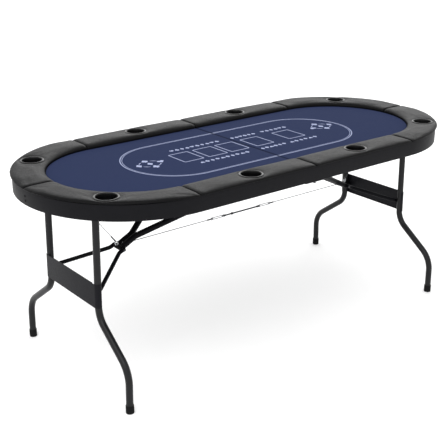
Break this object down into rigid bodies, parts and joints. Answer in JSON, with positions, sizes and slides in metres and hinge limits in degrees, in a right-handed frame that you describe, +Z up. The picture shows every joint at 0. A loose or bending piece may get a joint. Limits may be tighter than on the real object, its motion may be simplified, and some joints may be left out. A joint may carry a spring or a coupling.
{
  "type": "folding card table",
  "caption": "Oval folding card table with a felt playing surface, padded rail, cup holders, braced folding leg frames and a tension cable between them.",
  "frame": {"origin": "on the floor, under the middle of the unfolded table", "axes": "+X along the table towards its right end, +Y towards its back edge, +Z up; the fold line runs along Y at x = 0"},
  "size_m": [1.854, 0.838, 0.741],
  "materials": {
    "board": "fibreboard sealed with a matt black coat",
    "felt": "napped navy felt with pale printed lines",
    "apron": "black laminated board edge, low sheen",
    "vinyl": "grained black vinyl over foam, soft sheen",
    "cup_plastic": "moulded black plastic, satin rim",
    "black_steel": "black powder coat on steel tube and sheet",
    "rubber": "matt black moulded rubber",
    "hinge_steel": "black coated steel hinge leaf",
    "cable_steel": "stranded steel wire rope",
    "bright_steel": "bright zinc plated steel"
  },
  "bodies": {
    "left_half": {"board_left": "board", "felt_left": "felt", "apron_left": "apron", "rail_pad_left_front_side": "vinyl", "rail_pad_left_front_end": "vinyl", "cup_holder_left_front_middle": "cup_plastic", "cup_holder_left_front_end": "cup_plastic", "pivot_clamp_left_front": "black_steel", "brace_bracket_left_front": "black_steel", "fold_hinge_leaf_left_front": "hinge_steel", "rail_pad_left_back_side": "vinyl", "rail_pad_left_back_end": "vinyl", "cup_holder_left_back_middle": "cup_plastic", "cup_holder_left_back_end": "cup_plastic", "pivot_clamp_left_back": "black_steel", "brace_bracket_left_back": "black_steel", "fold_hinge_leaf_left_back": "hinge_steel", "hub_stay_left": "cable_steel"},
    "left_leg_frame": {"leg_frame_left": "black_steel", "cross_plate_left": "black_steel", "foot_cap_left_front": "rubber", "foot_cap_left_back": "rubber"},
    "left_upper_brace": {"upper_brace_arm_left_front": "black_steel", "upper_brace_arm_left_back": "black_steel", "brace_hub_left": "black_steel"},
    "left_lower_brace": {"lower_brace_arm_left_front": "black_steel", "lower_brace_arm_left_back": "black_steel"},
    "right_half": {"board_right": "board", "felt_right": "felt", "apron_right": "apron", "rail_pad_right_front_side": "vinyl", "rail_pad_right_front_end": "vinyl", "cup_holder_right_front_middle": "cup_plastic", "cup_holder_right_front_end": "cup_plastic", "pivot_clamp_right_front": "black_steel", "brace_bracket_right_front": "black_steel", "fold_hinge_leaf_right_front": "hinge_steel", "rail_pad_right_back_side": "vinyl", "rail_pad_right_back_end": "vinyl", "cup_holder_right_back_middle": "cup_plastic", "cup_holder_right_back_end": "cup_plastic", "pivot_clamp_right_back": "black_steel", "brace_bracket_right_back": "black_steel", "fold_hinge_leaf_right_back": "hinge_steel", "hub_stay_right": "cable_steel"},
    "right_leg_frame": {"leg_frame_right": "black_steel", "cross_plate_right": "black_steel", "foot_cap_right_front": "rubber", "foot_cap_right_back": "rubber"},
    "right_upper_brace": {"upper_brace_arm_right_front": "black_steel", "upper_brace_arm_right_back": "black_steel", "brace_hub_right": "black_steel"},
    "right_lower_brace": {"lower_brace_arm_right_front": "black_steel", "lower_brace_arm_right_back": "black_steel"},
    "tension_cable": {"tension_cable_left": "cable_steel", "snap_link_left": "bright_steel", "cable_tensioner": "bright_steel", "snap_link_right": "bright_steel", "tension_cable_right": "cable_steel"}
  },
  "joints": [
    {"name": "table_fold", "type": "hinge", "parent": "left_half", "child": "right_half", "pos_m": [0, 0, 0.6702], "axis": [0, 1, 0], "range_deg": [0, 90], "deforming": ["tension_cable_left", "snap_link_left", "cable_tensioner", "snap_link_right", "tension_cable_right"]},
    {"name": "left_leg_fold", "type": "hinge", "parent": "left_half", "child": "left_leg_frame", "pos_m": [-0.753, 0, 0.6885], "axis": [0, -1, 0], "range_deg": [0, 91], "deforming": ["hub_stay_left", "tension_cable_left", "snap_link_left", "cable_tensioner", "snap_link_right", "tension_cable_right"]},
    {"name": "left_upper_brace_swing", "type": "hinge", "parent": "left_half", "child": "left_upper_brace", "pos_m": [-0.067, 0, 0.6885], "axis": [0, -1, 0], "range_deg": [-27, 0]},
    {"name": "left_lower_brace_swing", "type": "hinge", "parent": "left_leg_frame", "child": "left_lower_brace", "pos_m": [-0.757, 0, 0.363], "axis": [0, -1, 0], "range_deg": [0, 67]},
    {"name": "right_leg_fold", "type": "hinge", "parent": "right_half", "child": "right_leg_frame", "pos_m": [0.753, 0, 0.6885], "axis": [0, 1, 0], "range_deg": [0, 91], "deforming": ["hub_stay_right", "tension_cable_left", "snap_link_left", "cable_tensioner", "snap_link_right", "tension_cable_right"]},
    {"name": "right_upper_brace_swing", "type": "hinge", "parent": "right_half", "child": "right_upper_brace", "pos_m": [0.067, 0, 0.6885], "axis": [0, 1, 0], "range_deg": [-27, 0]},
    {"name": "right_lower_brace_swing", "type": "hinge", "parent": "right_leg_frame", "child": "right_lower_brace", "pos_m": [0.757, 0, 0.363], "axis": [0, 1, 0], "range_deg": [0, 67]},
    {"name": "tension_cable_drop", "type": "hinge", "parent": "left_upper_brace", "child": "tension_cable", "pos_m": [-0.57, 0, 0.438], "axis": [0, 1, 0], "range_deg": [0, 72]}
  ],
  "couplings": [
    {"joint": "left_upper_brace_swing", "follows": "left_leg_fold", "ratio": -0.2943},
    {"joint": "left_lower_brace_swing", "follows": "left_leg_fold", "ratio": 0.7327},
    {"joint": "right_upper_brace_swing", "follows": "right_leg_fold", "ratio": -0.2943},
    {"joint": "right_lower_brace_swing", "follows": "right_leg_fold", "ratio": 0.7327},
    {"joint": "tension_cable_drop", "follows": "table_fold", "ratio": 0.8}
  ]
}
